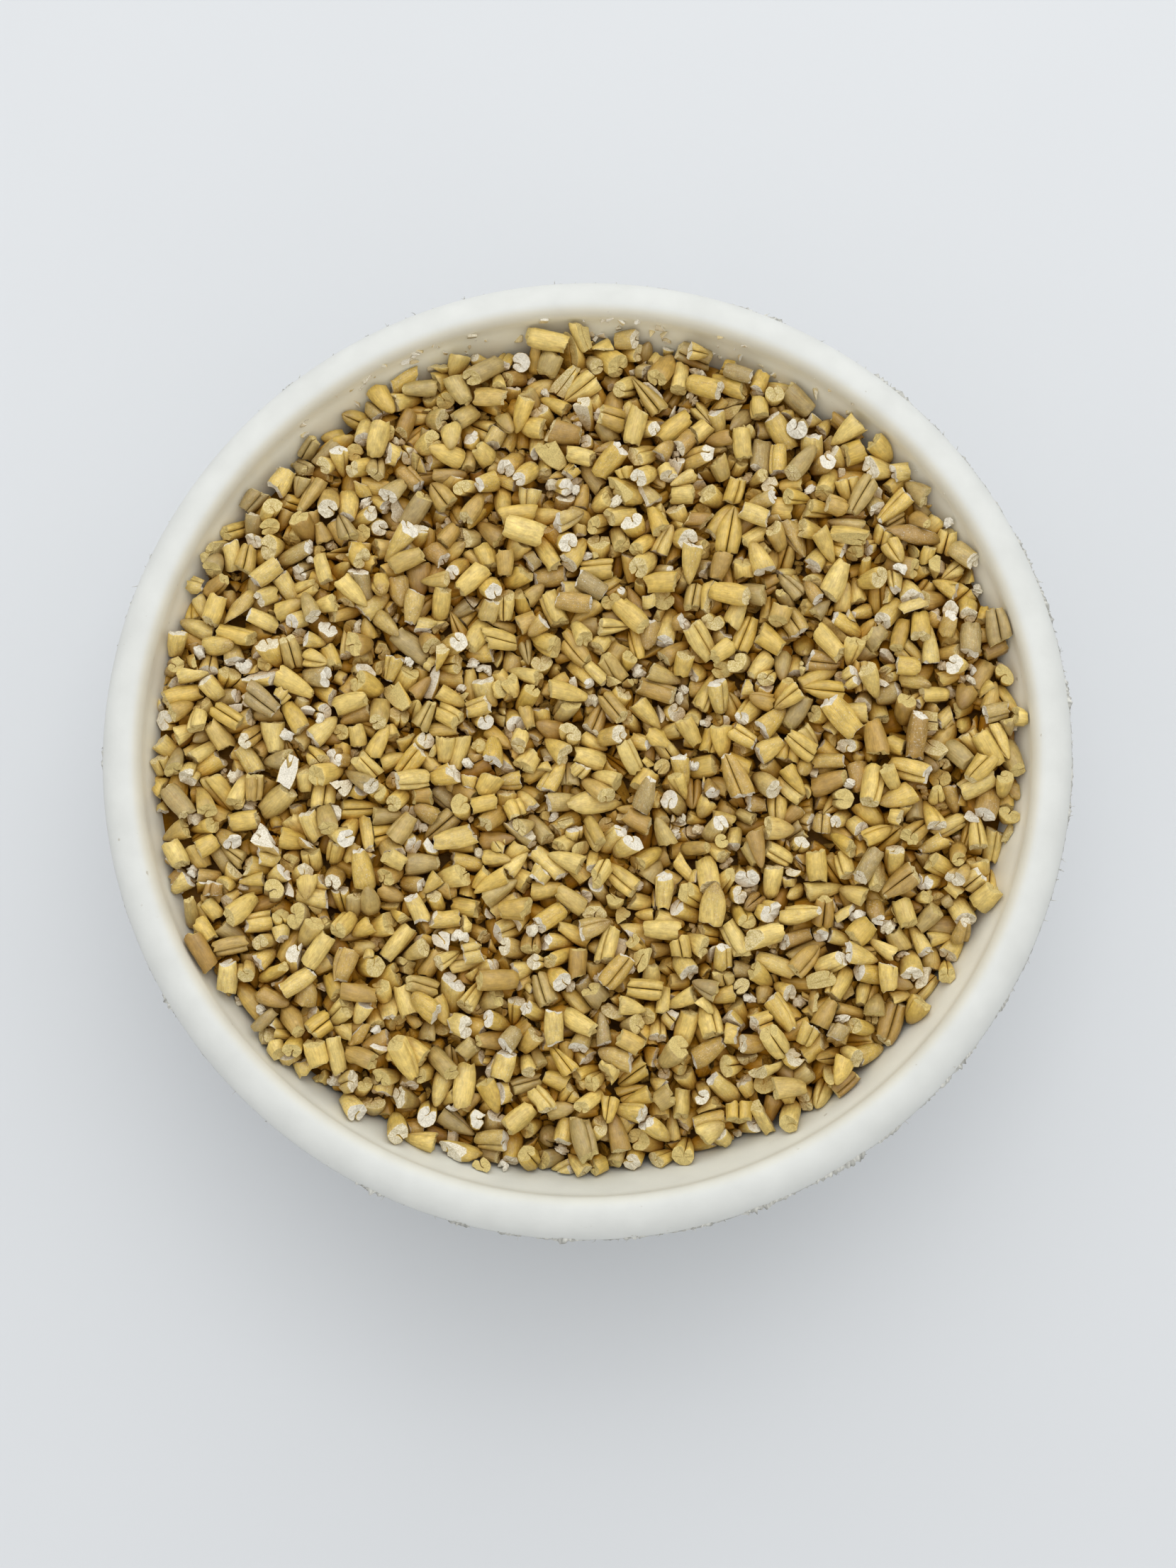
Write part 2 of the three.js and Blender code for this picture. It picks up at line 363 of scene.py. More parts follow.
def fibre_material(bowl):
    """Matt off-white pressed fibre: faint mottling, a fine felted surface and sparse flecks."""
    nodes = Nodes("moulded_fibre")
    place = nodes.add("ShaderNodeTexCoord").outputs["Object"]
    cloud = nodes.ramp(nodes.noise(place, 260, 3), 0.3, 0.7, 0.96, 1.03)
    felt = nodes.noise(place, 2600, 4, 0.6)
    speck = nodes.noise(nodes.stretch(place, (1.0, 1.0, 1.6)), 820, 2)
    patch = nodes.noise(place, 90, 1)
    fleck = nodes.math("MULTIPLY", nodes.ramp(speck, 0.735, 0.77), nodes.ramp(patch, 0.45, 0.6))
    faint = nodes.math("MULTIPLY", fleck, 0.5)
    # the tone at each vertex holds the dust of the inside, with its painted light and shade
    base = nodes.tint(nodes.vector("tone"), nodes.grey(cloud))
    coarse = nodes.bump(nodes.noise(place, 420, 2), 0.00006, 0.5)
    return nodes.surface({
        "Base Color": nodes.mix(faint, base, rgba(bowl.fleck_colour)),
        "Roughness": 0.72,
        "Specular IOR Level": 0.35,
        "Normal": nodes.bump(felt, 0.00002, 0.5, coarse),
    })


def groat_material(oats):
    """Satin groat skin with lengthwise wrinkles, chalky or glassy cut faces and brown tips, and
    painted shade with less sheen deep in the gaps.
    """
    nodes = Nodes("cut_groat")
    place = nodes.vector("place")
    cut = nodes.value("cut")
    chalk = nodes.value("chalk")
    gap = nodes.value("gap")
    wrinkle = nodes.noise(nodes.stretch(place, (0.5, 3.4, 3.4)), 1.5, 4, 0.65)
    streak = nodes.noise(nodes.stretch(place, (0.35, 1.6, 1.6)), 1.7, 3, 0.6)
    mottle = nodes.noise(place, 1.1, 3, 0.6)
    grain = nodes.noise(place, 5.5, 3, 0.7)
    wrinkled = nodes.ramp(wrinkle, 0.3, 0.7, 0.82, 1.13)
    mottled = nodes.ramp(mottle, 0.3, 0.7, 0.78, 1.16)
    skin = nodes.tint(nodes.vector("tone"), nodes.grey(nodes.math("MULTIPLY", wrinkled, mottled)))
    skin = nodes.mix(nodes.ramp(streak, 0.52, 0.72, 0.0, 0.45), skin, rgba(oats.brown_skin))
    shrivelled = nodes.ramp(wrinkle, 0.35, 0.62, 0.25, 1.0)
    browned = nodes.math("MULTIPLY", nodes.value("tip"), shrivelled, clamp=True)
    skin = nodes.mix(browned, skin, rgba(oats.tip))
    powdered = nodes.ramp(chalk, 0.2, 1.0, 0.07, 0.6)
    dust = nodes.math("MULTIPLY", nodes.ramp(grain, 0.56, 0.72), powdered)
    skin = nodes.mix(dust, skin, rgba(oats.flour))
    chalky = nodes.math("ADD", chalk, nodes.math("MULTIPLY", grain, 0.9))
    face = nodes.mix(nodes.ramp(chalky, 0.7, 1.3), rgba(oats.horn), rgba(oats.flour))
    face = nodes.tint(face, nodes.grey(nodes.ramp(grain, 0.25, 0.6, 0.66, 1.06)))
    open_colour = nodes.mix(cut, skin, face)
    # painted shade deep in the gaps: there the colour is multiplied down, and the sheen is lowered
    gap_shaded_colour = nodes.tint(open_colour, rgba(oats.gap_shade))
    lines = nodes.bump(wrinkle, 0.00009, 0.7)
    grit = nodes.ramp(cut, 0.0, 1.0, 0.15, 0.8)
    return nodes.surface({
        "Base Color": nodes.mix(gap, open_colour, gap_shaded_colour),
        "Roughness": nodes.ramp(cut, 0.0, 1.0, 0.35, 0.9),
        "Specular IOR Level": nodes.ramp(gap, 0.0, 1.0, 0.55, 0.1),
        "Normal": nodes.bump(grain, 0.00004, grit, lines),
    })


def floor_material(stage):
    """A plain pale bluish-grey surface with the faintest unevenness."""
    nodes = Nodes("pale_surface")
    place = nodes.add("ShaderNodeTexCoord").outputs["Object"]
    cloud = nodes.ramp(nodes.noise(place, 9, 3), 0.3, 0.7, 0.985, 1.015)
    return nodes.surface({
        "Base Color": nodes.tint(rgba(stage.floor_colour), nodes.grey(cloud)),
        "Roughness": 0.6,
        "Specular IOR Level": 0.3,
    })


# ---------------------------------------------------------------- bowl


def arc(centre, radii, start, end, steps):
    """Points along a stretch of an ellipse."""
    angles = np.linspace(start, end, steps + 1)
    across = centre[0] + radii[0] * np.cos(angles)
    return np.column_stack((across, centre[1] + radii[1] * np.sin(angles)))


def bezier(points, steps):
    """Points along a cubic curve, given its ends and what pulls on it between them."""
    share = np.linspace(0, 1, steps + 1)[:, None]
    a, b, c, d = (np.array(point) for point in points)
    rest = 1 - share
    return a * rest**3 + 3 * b * share * rest**2 + 3 * c * share**2 * rest + d * share**3


WALL_SWEEP = np.array((7, 14)) * MM  # how the wall leaves the neck: inwards and down
FOOT_SWEEP = 8.5 * MM  # how the wall leaves the foot
BASE_POINTS = 6  # along the flat of the base, and as many down its step to the foot
WALL_START = 2 * BASE_POINTS - 1  # the point of the line at which the wall begins
WALL_STEPS = 15
NECK_STEPS = 4
TURN_STEPS = 5
LIP_STEPS = 12
LIP_END = math.radians(16)  # where the turn of the lip is trimmed off, short of straight down


def fibre_line(bowl):
    """The middle of the fibre as (radius, height): base, wall and neck, and then rim and lip."""
    half = bowl.fibre / 2
    rim_top = bowl.radius - half - bowl.lip_reach
    neck_top = np.array((rim_top - bowl.rim_round, bowl.height - half - bowl.rim_round))
    wall_top = neck_top - (bowl.neck_lean, bowl.neck_height)
    share = np.linspace(0, 1, BASE_POINTS)
    step_in = bowl.recess_radius + (bowl.foot_inner - bowl.recess_radius) * share
    step_down = half + bowl.recess_rise * (1 - share * share * (3 - 2 * share))
    flat = np.linspace(0, bowl.recess_radius, BASE_POINTS)[:-1]
    flat = np.column_stack((flat, np.full_like(flat, half + bowl.recess_rise)))
    base = np.vstack((flat, np.column_stack((step_in, step_down))))
    foot = (bowl.foot_outer, half)
    foot_pull = (foot[0] + FOOT_SWEEP, half)
    wall = bezier((foot, foot_pull, wall_top - WALL_SWEEP, wall_top), WALL_STEPS)
    neck_pull = neck_top - (0, 0.4 * bowl.neck_height)
    neck = bezier((wall_top, wall_top + WALL_SWEEP * 0.05, neck_pull, neck_top), NECK_STEPS)
    turn = arc((rim_top, neck_top[1]), (bowl.rim_round,) * 2, math.pi, math.pi / 2, TURN_STEPS)
    lip_middle = (rim_top, bowl.height - half - bowl.lip_drop)
    lip = arc(lip_middle, (bowl.lip_reach, bowl.lip_drop), math.pi / 2, LIP_END, LIP_STEPS)
    return np.vstack((base, wall, neck[1:])), np.vstack((turn[1:], lip[1:]))


def offset_line(line, distance):
    """A line moved sideways by a distance, towards the inside of the bowl when positive."""
    steps = np.diff(line, axis=0)
    steps /= np.linalg.norm(steps, axis=1)[:, None]
    incoming = np.vstack((steps[:1], steps))
    along = incoming + np.vstack((steps, steps[-1:]))
    along /= np.linalg.norm(along, axis=1)[:, None]
    reach = distance / (along * incoming).sum(axis=1)
    return line + np.column_stack((-along[:, 1], along[:, 0])) * reach[:, None]


def whisker_mesh(root, heading, reach, thick, rng):
    """One bent fibre end: a thin three-sided spike."""
    across = unit(np.cross(heading, (0, 0, 1.0)))
    above = np.cross(across, heading)
    bend = rng.normal(0, 0.25) * across + rng.normal(-0.1, 0.25) * above
    vertices = []
    for share in (-0.3, 0.35, 0.75):
        middle = root + heading * reach * share + bend * reach * max(share, 0) ** 2
        size = thick * (1 - 0.6 * max(share, 0))
        for corner in range(3):
            angle = TURN * corner / 3
            vertices.append(middle + size * (math.cos(angle) * across + math.sin(angle) * above))
    vertices.append(root + heading * reach + bend * reach)
    faces = [(2, 1, 0)]
    for ring in (0, 3):
        for corner in range(3):
            beside = (corner + 1) % 3
            faces.append((ring + corner, ring + beside, ring + 3 + beside, ring + 3 + corner))
    faces += [(6, 7, 9), (7, 8, 9), (8, 6, 9)]
    return vertices, faces


class OATBOWL_OT_bowl(Operator):
    """Turn the fibre bowl, with its rough trimmed lip"""

    bl_idname = "oatbowl.bowl"
    bl_label = "Fibre Bowl"

    AROUND = 288
    NECK_DUST_AND_SHADE = (0.02 * MM, 0.4 * MM)  # how far under the rim the dust, with its painted light and shade, begins, and is full
    WALL_DUST_AND_LIGHT = (0.8 * MM, 1.7 * MM)  # where the neck's colour, with its painted shade, turns into that of the lit wall, with its painted light
    RAGGED_SIDE = math.radians(-5)  # the side that was trimmed most raggedly, turned from +X
    RAGGED = (0.45, 0.55)  # how ragged the trim is all round, and how much more on that side
    TRIM_AROUND = 1500
    TRIM_SIDES = 6
    BEAD = 0.42  # radius of the torn bead, for a fibre one thick
    INWARDS = 0.3  # how far the tears reach inwards, for one outwards
    CLUMPS = 0.28
    TUFT_SPREAD = math.radians(75)
    TUFT_WIDTH = (0.8 * MM, 4.0 * MM)
    WHISKER_THICK = (0.03, 0.09)  # in millimetres
    TORN_TONE = (0.55, 1.4)  # what the colour of a torn fibre is multiplied by

    def execute(self, context):
        bowl = context.scene.fibre_bowl
        rng = np.random.default_rng(bowl.seed)
        line = np.vstack(fibre_line(bowl))
        inside = offset_line(line, bowl.fibre / 2)
        outside = offset_line(line, -bowl.fibre / 2)
        section = np.vstack((outside[1:], inside[:0:-1]))
        angles = round_angles(self.AROUND)
        radius = np.repeat(section[:, :1], self.AROUND, axis=1)
        height = np.repeat(section[:, 1:], self.AROUND, axis=1)
        share = np.clip(section[:, :1] / bowl.radius, 0, 1) ** 6
        radius += share * bowl.waver * (waves(angles, 5, rng) - 0.9)
        height -= share * bowl.waver * np.abs(waves(angles, 4, rng))
        shell = np.stack((radius * np.cos(angles), radius * np.sin(angles), height), axis=-1)
        vertices = shell.reshape(-1, 3).tolist()
        faces = turned_faces(len(section), self.AROUND).tolist()
        for ring, centre, turned in ((0, outside[0], True), (len(section) - 1, inside[0], False)):
            faces += fan(len(vertices), ring * self.AROUND, self.AROUND, turned)
            vertices.append((0, 0, centre[1]))
        tones = self.wall_tones(bowl, height, angles, len(line) + LIP_STEPS)
        tones += [(*bowl.near_dust_and_shade, 1)] * (len(vertices) - len(tones))
        trim = len(line) - 1
        edge = slice(trim - 1, trim + 1)
        self.add_trim(bowl, vertices, faces, angles, radius[edge], height[edge], rng)
        self.add_whiskers(bowl, vertices, faces, radius, height, trim, rng)
        torn = len(vertices) - len(tones)
        # torn fibres, darkened with painted shade under the lip, each at a random tone
        torn_and_shaded_tones = np.tile((*bowl.torn_fibre_and_shade, 1), (torn, 1))
        torn_and_shaded_tones = torn_and_shaded_tones * rng.uniform(*self.TORN_TONE, (torn, 1))
        vertices = np.clip(vertices, tuple(BOWL_BOX[0]), tuple(BOWL_BOX[1]))
        add_piece("fibre_bowl", vertices, faces, fibre_material(bowl), "bowl",
                  {"tone": np.vstack((tones, torn_and_shaded_tones))})
        return {"FINISHED"}

    def wall_tones(self, bowl, height, angles, first_inside):
        """The colour at each vertex: plain outside and on the rim, dusted down the inside, with a
        band of painted shade under the rim and painted light brightest on the far side.
        """
        inner = np.arange(len(height))[:, None] >= first_inside
        depth = bowl.height - height
        dusted = np.interp(depth, self.NECK_DUST_AND_SHADE, (0, 1))[..., None] * inner[..., None]
        deep = np.interp(depth, self.WALL_DUST_AND_LIGHT, (0, 1))[..., None]
        # painted light and shade by bearing: brightest on the far side, bright at the sides,
        # dullest on the near side
        far, near = np.clip(np.sin(angles), 0, 1) ** 2, np.clip(-np.sin(angles), 0, 1) ** 2
        dust = np.outer(far, bowl.far_dust_and_glow) + np.outer(near, bowl.near_dust_and_shade)
        dust += np.outer(np.cos(angles) ** 2, bowl.side_dust_and_light)
        # painted shade in a band under the rim, except on the near side
        neck = np.outer(1 - near, bowl.neck_dust_and_shade) + np.outer(near, bowl.near_dust_and_shade)
        dust = (1 - deep) * neck + deep * dust
        tones = (1 - dusted) * np.array(bowl.fibre_colour) + dusted * dust
        return np.concatenate((tones, np.ones_like(dusted)), axis=-1).reshape(-1, 4).tolist()

    def add_trim(self, bowl, vertices, faces, angles, radius, height, rng):
        """A finely torn bead of fibre along the cut edge, most ragged on one side."""
        around = round_angles(self.TRIM_AROUND)
        middle_radius = np.interp(around, angles, radius.mean(axis=0), period=TURN)
        middle_height = np.interp(around, angles, height.mean(axis=0), period=TURN)
        facing = 0.5 + 0.5 * np.cos(around - self.RAGGED_SIDE)
        ragged = self.RAGGED[0] + self.RAGGED[1] * facing**2
        clumps = np.clip(waves(around, 60, rng, 0.35), 0, None)
        tufts = np.zeros(self.TRIM_AROUND)
        for _ in range(bowl.tufts):
            place = rng.normal(self.RAGGED_SIDE, self.TUFT_SPREAD)
            half_width = rng.uniform(*self.TUFT_WIDTH) / 2 / bowl.radius
            away = np.abs((around - place + math.pi) % TURN - math.pi) / half_width
            tall = bowl.tuft * rng.uniform(0.25, 1) ** 1.7
            tufts = np.maximum(tufts, tall * np.clip(1 - away**2, 0, 1) ** 0.5)
        base = len(vertices)
        for side in range(self.TRIM_SIDES):
            turn = TURN * side / self.TRIM_SIDES
            frayed = rng.uniform(0, 0.5, self.TRIM_AROUND) + self.CLUMPS * clumps
            torn = bowl.trim_rough * ragged * frayed
            torn += tufts * rng.uniform(0.1, 1, self.TRIM_AROUND)
            reach = self.BEAD * bowl.fibre + torn * (1 if math.cos(turn) > 0.1 else self.INWARDS)
            out = middle_radius + reach * math.cos(turn)
            up = middle_height - reach * math.sin(turn)
            vertices.extend(ring_points(out, around, up).tolist())
        bead = turned_faces(self.TRIM_SIDES, self.TRIM_AROUND, closed=True) + base
        faces.extend(bead[:, ::-1].tolist())

    def add_whiskers(self, bowl, vertices, faces, radius, height, middle, rng):
        """Fibre ends that stand out of the cut edge, most of them on one side."""
        made = 0
        while made < bowl.whiskers:
            step = rng.integers(self.AROUND)
            bearing = step * TURN / self.AROUND
            side = 0.5 + 0.5 * math.cos(bearing - self.RAGGED_SIDE)
            if rng.random() > 0.25 + 0.75 * side:
                continue
            made += 1
            ring = middle + rng.integers(-1, 2)
            out, up = radius[ring, step], height[ring, step]
            root = np.array((out * math.cos(bearing), out * math.sin(bearing), up))
            lean = bearing + rng.normal(0, 0.7)
            heading = unit(np.array((math.cos(lean), math.sin(lean), rng.normal(-0.2, 0.3))))
            reach = bowl.whisker * rng.uniform(0.2, 1) ** 1.6
            thick = rng.uniform(*self.WHISKER_THICK) * MM
            spike, sides = whisker_mesh(root, heading, reach, thick, rng)
            faces.extend(tuple(corner + len(vertices) for corner in face) for face in sides)
            vertices.extend(tuple(point) for point in spike)


# ---------------------------------------------------------------- oats: a groat and how it is cut

# Half of a section across a groat, from the side of the crease over one lobe, for a half-width
# and half-height of one. The crease runs up the middle of the top.
LOBE_TOP = ((0.07, 0.68), (0.22, 0.83), (0.47, 0.89))
BACK_POINTS = 11
CREASE = np.array(((0.0, 0.42), (0.03, 0.12), (0.2, -0.1), (0.42, 0.0)))  # down it to its hook
IN_CREASE = range(BACK_POINTS + 3, BACK_POINTS + 10)  # the points that lie down in the crease
GROAT_RINGS = 11


def groat_contour(rng):
    """A section across a groat: a round back, and two lobes beside a crease with a hook."""
    angles = np.radians(np.linspace(40, -220, BACK_POINTS))
    round_back = np.where(np.sin(angles) > 0, 0.95, 1.0) * np.sin(angles)
    back = np.column_stack((np.cos(angles), round_back))
    back *= 1 + rng.normal(0, rng.choice((0.012, 0.025, 0.05)), (BACK_POINTS, 1))
    lobe = np.array(LOBE_TOP) * rng.uniform(0.92, 1.06, (3, 2))
    gape = rng.uniform(0.015, 0.05)
    hook = CREASE * (rng.choice((-1, 1)) * rng.uniform(0.6, 1.2), 1) + (0, rng.uniform(-0.12, 0.12))
    near = hook[:3] - (gape, 0)
    far = hook[:3] + (gape, gape)
    return np.vstack((back, lobe[::-1] * (-1, 1), near, hook[3:], far[::-1], lobe))


def whole_groat(oats, rng):
    """A whole groat in millimetres along X, with the crease up. Its germ end points to -X."""
    half_length = oats.groat / MM / 2 * rng.uniform(0.88, 1.12)
    half_width = oats.width / MM / 2 * rng.uniform(0.84, 1.14)
    half_depth = oats.depth / MM / 2 * rng.uniform(0.84, 1.12)
    contour = groat_contour(rng)
    around = len(contour)
    share = np.sin(np.linspace(-math.pi / 2, math.pi / 2, GROAT_RINGS + 2))
    widest = share + rng.uniform(0.05, 0.22) * (1 - share**2)
    fullness = np.where(widest < 0, rng.uniform(1.9, 2.5), rng.uniform(1.8, 2.3))
    size = (1 - np.abs(widest) ** fullness) ** rng.uniform(0.58, 0.76)
    bow, twist = rng.uniform(-0.4, 0.3), rng.uniform(-0.15, 0.15)
    phases = rng.uniform(0, TURN, 4)
    turn = np.linspace(0, TURN, around, endpoint=False)
    rings = []
    for place, scale in zip(share[1:-1], size[1:-1]):
        lumps = 1 + 0.04 * np.sin(2 * turn + phases[0] + 3 * place)
        lumps += 0.03 * np.sin(3 * turn - 5 * place + phases[1])
        lumps += rng.normal(0, 0.012, around)
        x = np.full(around, place * half_length)
        y = contour[:, 0] * half_width * scale * lumps
        z = contour[:, 1] * half_depth * scale**0.85 * lumps + bow * place**2
        cosine, sine = math.cos(twist * place), math.sin(twist * place)
        rings.append(np.column_stack((x, y * cosine - z * sine, y * sine + z * cosine)))
    vertices = np.vstack((*rings, ((-half_length, 0, bow),), ((half_length, 0, bow),)))
    faces = turned_faces(GROAT_RINGS, around).tolist()
    last = (GROAT_RINGS - 1) * around
    for step in range(around):
        beside = (step + 1) % around
        faces.append((len(vertices) - 2, beside, step))
        faces.append((len(vertices) - 1, last + step, last + beside))
    along = share[1:-1, None]
    browned = np.clip((-along - 0.5) / 0.45, 0, 1) + 0.6 * np.clip((along - 0.7) / 0.3, 0, 1)
    browned = np.maximum(browned, np.isin(np.arange(around), IN_CREASE) * rng.uniform(0.2, 0.7))
    groat = bmesh.new()
    tips = groat.verts.layers.float.new("tip")
    groat.faces.layers.int.new("cut")
    for place, value in zip(vertices, np.append(browned.ravel(), (1, 0.6))):
        groat.verts.new(place)[tips] = value
    groat.verts.ensure_lookup_table()
    for face in faces:
        groat.faces.new([groat.verts[corner] for corner in face])
    bmesh.ops.recalc_face_normals(groat, faces=groat.faces)
    return groat, (half_length, half_width, half_depth)


RIM_OF_SKIN = 0.07  # width of the bevel between skin and flour, in millimetres
GRIT = 0.95  # edges of a cut face longer than this are split


def cut_groat(groat, point, normal, rng, rough=0.18):
    """Breaks off what lies beyond a plane, with a ragged face inside a thin rim of skin."""
    point, normal = Vector(point), Vector(normal).normalized()
    everything = groat.verts[:] + groat.edges[:] + groat.faces[:]
    made = bmesh.ops.bisect_plane(
        groat, geom=everything, dist=1e-4, plane_co=point, plane_no=normal, clear_outer=True
    )["geom_cut"]
    rim = [part for part in made if isinstance(part, bmesh.types.BMEdge) and part.is_boundary]
    if len(rim) < 3:
        return
    along, across = normal.orthogonal(), normal.cross(normal.orthogonal())
    phases = rng.uniform(0, TURN, 3)
    pitch = rng.uniform(2.2, 4.5, 3)
    for vertex in {vertex: None for edge in rim for vertex in edge.verts}:
        first, second = vertex.co.dot(along) * pitch[0], vertex.co.dot(across) * pitch[1]
        wave = math.sin(first + phases[0]) + math.sin(second + phases[1])
        wave += math.sin(first - second + phases[2])
        vertex.co += normal * rough * (0.7 + 0.45 * wave + rng.uniform(-0.35, 0.35))
    cuts = groat.faces.layers.int["cut"]
    caps = bmesh.ops.holes_fill(groat, edges=rim, sides=0)["faces"]
    inset = bmesh.ops.inset_individual(
        groat, faces=caps, thickness=RIM_OF_SKIN, depth=RIM_OF_SKIN / 2, use_even_offset=False
    )
    for face in (*caps, *inset["faces"]):
        face[cuts] = 1
    split = bmesh.ops.triangulate(groat, faces=caps)
    for face in split["faces"]:
        face[cuts] = 1
    long_edges = [edge for edge in split["edges"] if edge.calc_length() > GRIT]
    inner = bmesh.ops.subdivide_edges(groat, edges=long_edges, cuts=1)["geom_inner"]
    for part in inner:
        if isinstance(part, bmesh.types.BMVert):
            part.co += normal * rough * rng.uniform(-0.9, 0.9)


def slanted(rng, lean):
    """A direction near +X that leans at random."""
    return np.array((1.0, rng.normal(0, lean), rng.normal(0, lean)))


def chip_corner(groat, at, size, rng):
    """Breaks a corner off one end."""
    side = rng.uniform(0, TURN)
    along = math.copysign(rng.uniform(0.5, 1.2), at)
    outwards = unit(np.array((along, math.cos(side), math.sin(side))))
    corner = np.array((at, 0, 0)) + outwards * size * rng.uniform(0.4, 0.75)
    cut_groat(groat, corner, outwards, rng)


def make_section(oats, rng, shortest, longest):
    """A stretch out of the middle, with both ends cut. A short one is a slice."""
    groat, (half_length, half_width, _) = whole_groat(oats, rng)
    span = rng.uniform(shortest, longest)
    start = rng.uniform(-0.66 * half_length, 0.8 * half_length - span)
    cut_groat(groat, (start + span, 0, 0), slanted(rng, 0.17), rng)
    cut_groat(groat, (start, 0, 0), -slanted(rng, 0.17), rng)
    if rng.random() < 0.4:
        chip_corner(groat, start + span, half_width, rng)
    return groat


def make_tip(oats, rng, end):
    """One end of a groat, with its tapered tip: the germ's end is -1, and the brush's is 1."""
    groat, (half_length, half_width, _) = whole_groat(oats, rng)
    span = rng.uniform(0.55, 1.12) * half_length
    at = end * (half_length - span)
    cut_groat(groat, (at, 0, 0), -end * slanted(rng, 0.14), rng)
    if rng.random() < 0.25:
        chip_corner(groat, -end * abs(at), half_width, rng)
    return groat


def make_half(oats, rng):
    """A stretch split lengthwise through the crease."""
    groat, (half_length, half_width, _) = whole_groat(oats, rng)
    side = rng.uniform(0, TURN)
    face = np.array((rng.normal(0, 0.15), math.cos(side), 0.5 * math.sin(side)))
    cut_groat(groat, face * half_width * rng.uniform(-0.1, 0.35), face, rng, 0.08)
    span = rng.uniform(1.6, 3.8)
    start = rng.uniform(-0.95 * half_length, 0.85 * half_length - span)
    cut_groat(groat, (start + span, 0, 0), slanted(rng, 0.35), rng)
    cut_groat(groat, (start, 0, 0), -slanted(rng, 0.35), rng)
    return groat


def make_fragment(oats, rng, reach, rough):
    """An angular fragment with a little of the skin left on one side."""
    groat, (half_length, half_width, _) = whole_groat(oats, rng)
    along = np.array((1.0, 0, 0))
    middle = np.array((rng.uniform(-0.5, 0.5) * half_length, 0, 0))
    side = rng.uniform(0, TURN)
    away = np.array((0, math.cos(side), math.sin(side)))
    middle += away * half_width * 0.6
    start = rng.uniform(0, TURN)
    for turn in (0.0, 2.1, 4.2):
        lean = start + turn + rng.normal(0, 0.35)
        normal = math.cos(lean) * along + math.sin(lean) * np.cross(along, away)
        point = middle + normal * reach * rng.uniform(0.55, 1.2)
        cut_groat(groat, point, normal - 0.3 * away * rng.random(), rng, rough)
    point = middle - away * reach * rng.uniform(0.1, 0.5)
    cut_groat(groat, point, -away + 0.3 * rng.normal(size=3), rng, rough)
    return groat


def make_shred(oats, rng):
    """A floury curl, torn out of the middle of a groat: a lumpy bent roll."""
    rings, around = 9, 7
    upright = np.array((0, 0, 1.3))  # the roll is a little thicker upright than across
    bend = rng.uniform(0.45, 0.8)
    sweep = rng.uniform(1.3, 3.8)
    widest = rng.uniform(0.34, 0.58)
    taper = np.linspace(0.5, math.pi - rng.uniform(0.2, 0.8), rings)
    thick = widest * np.sin(taper) ** 0.5
    shred = bmesh.new()
    shred.verts.layers.float.new("tip")
    cuts = shred.faces.layers.int.new("cut")
    for ring in range(rings):
        lean = sweep * ring / (rings - 1)
        out = np.array((math.cos(lean), math.sin(lean), 0))
        middle = bend * out * rng.uniform(0.85, 1.15) + (0, 0, rng.normal(0, 0.1))
        for turn in np.arange(around) * TURN / around:
            reach = thick[ring] * rng.uniform(0.7, 1.25)
            side = math.cos(turn) * out + math.sin(turn) * upright
            shred.verts.new(middle + reach * side)
    shred.verts.ensure_lookup_table()
    ends = [range(around), range((rings - 1) * around, rings * around)]
    for corners in turned_faces(rings, around).tolist() + ends:
        shred.faces.new([shred.verts[corner] for corner in corners])
    bmesh.ops.recalc_face_normals(shred, faces=shred.faces)
    for face in shred.faces:
        face[cuts] = 1
    return shred


# kind of piece: how it is made, how many different shapes of it there are, its share of all
# pieces, and the share of it with chalky breaks
KINDS = {
    "long_sections": (partial(make_section, shortest=2.9, longest=4.3), 26, 0.15, 0.34),
    "short_sections": (partial(make_section, shortest=1.5, longest=2.8), 30, 0.19, 0.34),
    "germ_tips": (partial(make_tip, end=-1), 26, 0.14, 0.3),
    "brush_tips": (partial(make_tip, end=1), 26, 0.13, 0.3),
    "split_halves": (make_half, 26, 0.08, 0.15),
    "thin_slices": (partial(make_section, shortest=0.5, longest=1.1), 16, 0.06, 0.85),
    "chips": (partial(make_fragment, reach=1.0, rough=0.09), 28, 0.08, 0.45),
    "shreds": (make_shred, 16, 0.13, 1.0),
    "crumbs": (partial(make_fragment, reach=0.5, rough=0.05), 20, 0.14, 0.6),
    "wall_crumbs": (partial(make_fragment, reach=0.5, rough=0.05), 12, 0.0, 1.0),
}
SLIVER = 0.24  # least thickness of a shape for its length


def hull_of(points):
    """The outermost points in 26 directions, for a hull that touches as the piece does."""
    near = (-1, 0, 1)
    steps = np.array([(x, y, z) for x in near for y in near for z in near if x or y or z], float)
    steps /= np.linalg.norm(steps, axis=1)[:, None]
    return points[np.unique(np.argmax(points @ steps.T, axis=0))]


class Shape:
    """One cut shape in millimetres about its own middle, as triangles with what its surface is."""

    def __init__(self, groat):
        bmesh.ops.triangulate(groat, faces=groat.faces)
        groat.verts.index_update()
        cuts, tips = groat.faces.layers.int["cut"], groat.verts.layers.float["tip"]
        self.place = np.array([vertex.co[:] for vertex in groat.verts])
        self.tip = np.array([vertex[tips] for vertex in groat.verts])
        self.cut = np.array(
            [float(all(face[cuts] for face in vertex.link_faces)) for vertex in groat.verts]
        )
        self.faces = np.array([[vertex.index for vertex in face.verts] for face in groat.faces])
        self.flat = np.array([bool(face[cuts]) for face in groat.faces])
        groat.free()
        self.vertices = self.place - self.place.mean(axis=0)
        self.hull = hull_of(self.vertices)


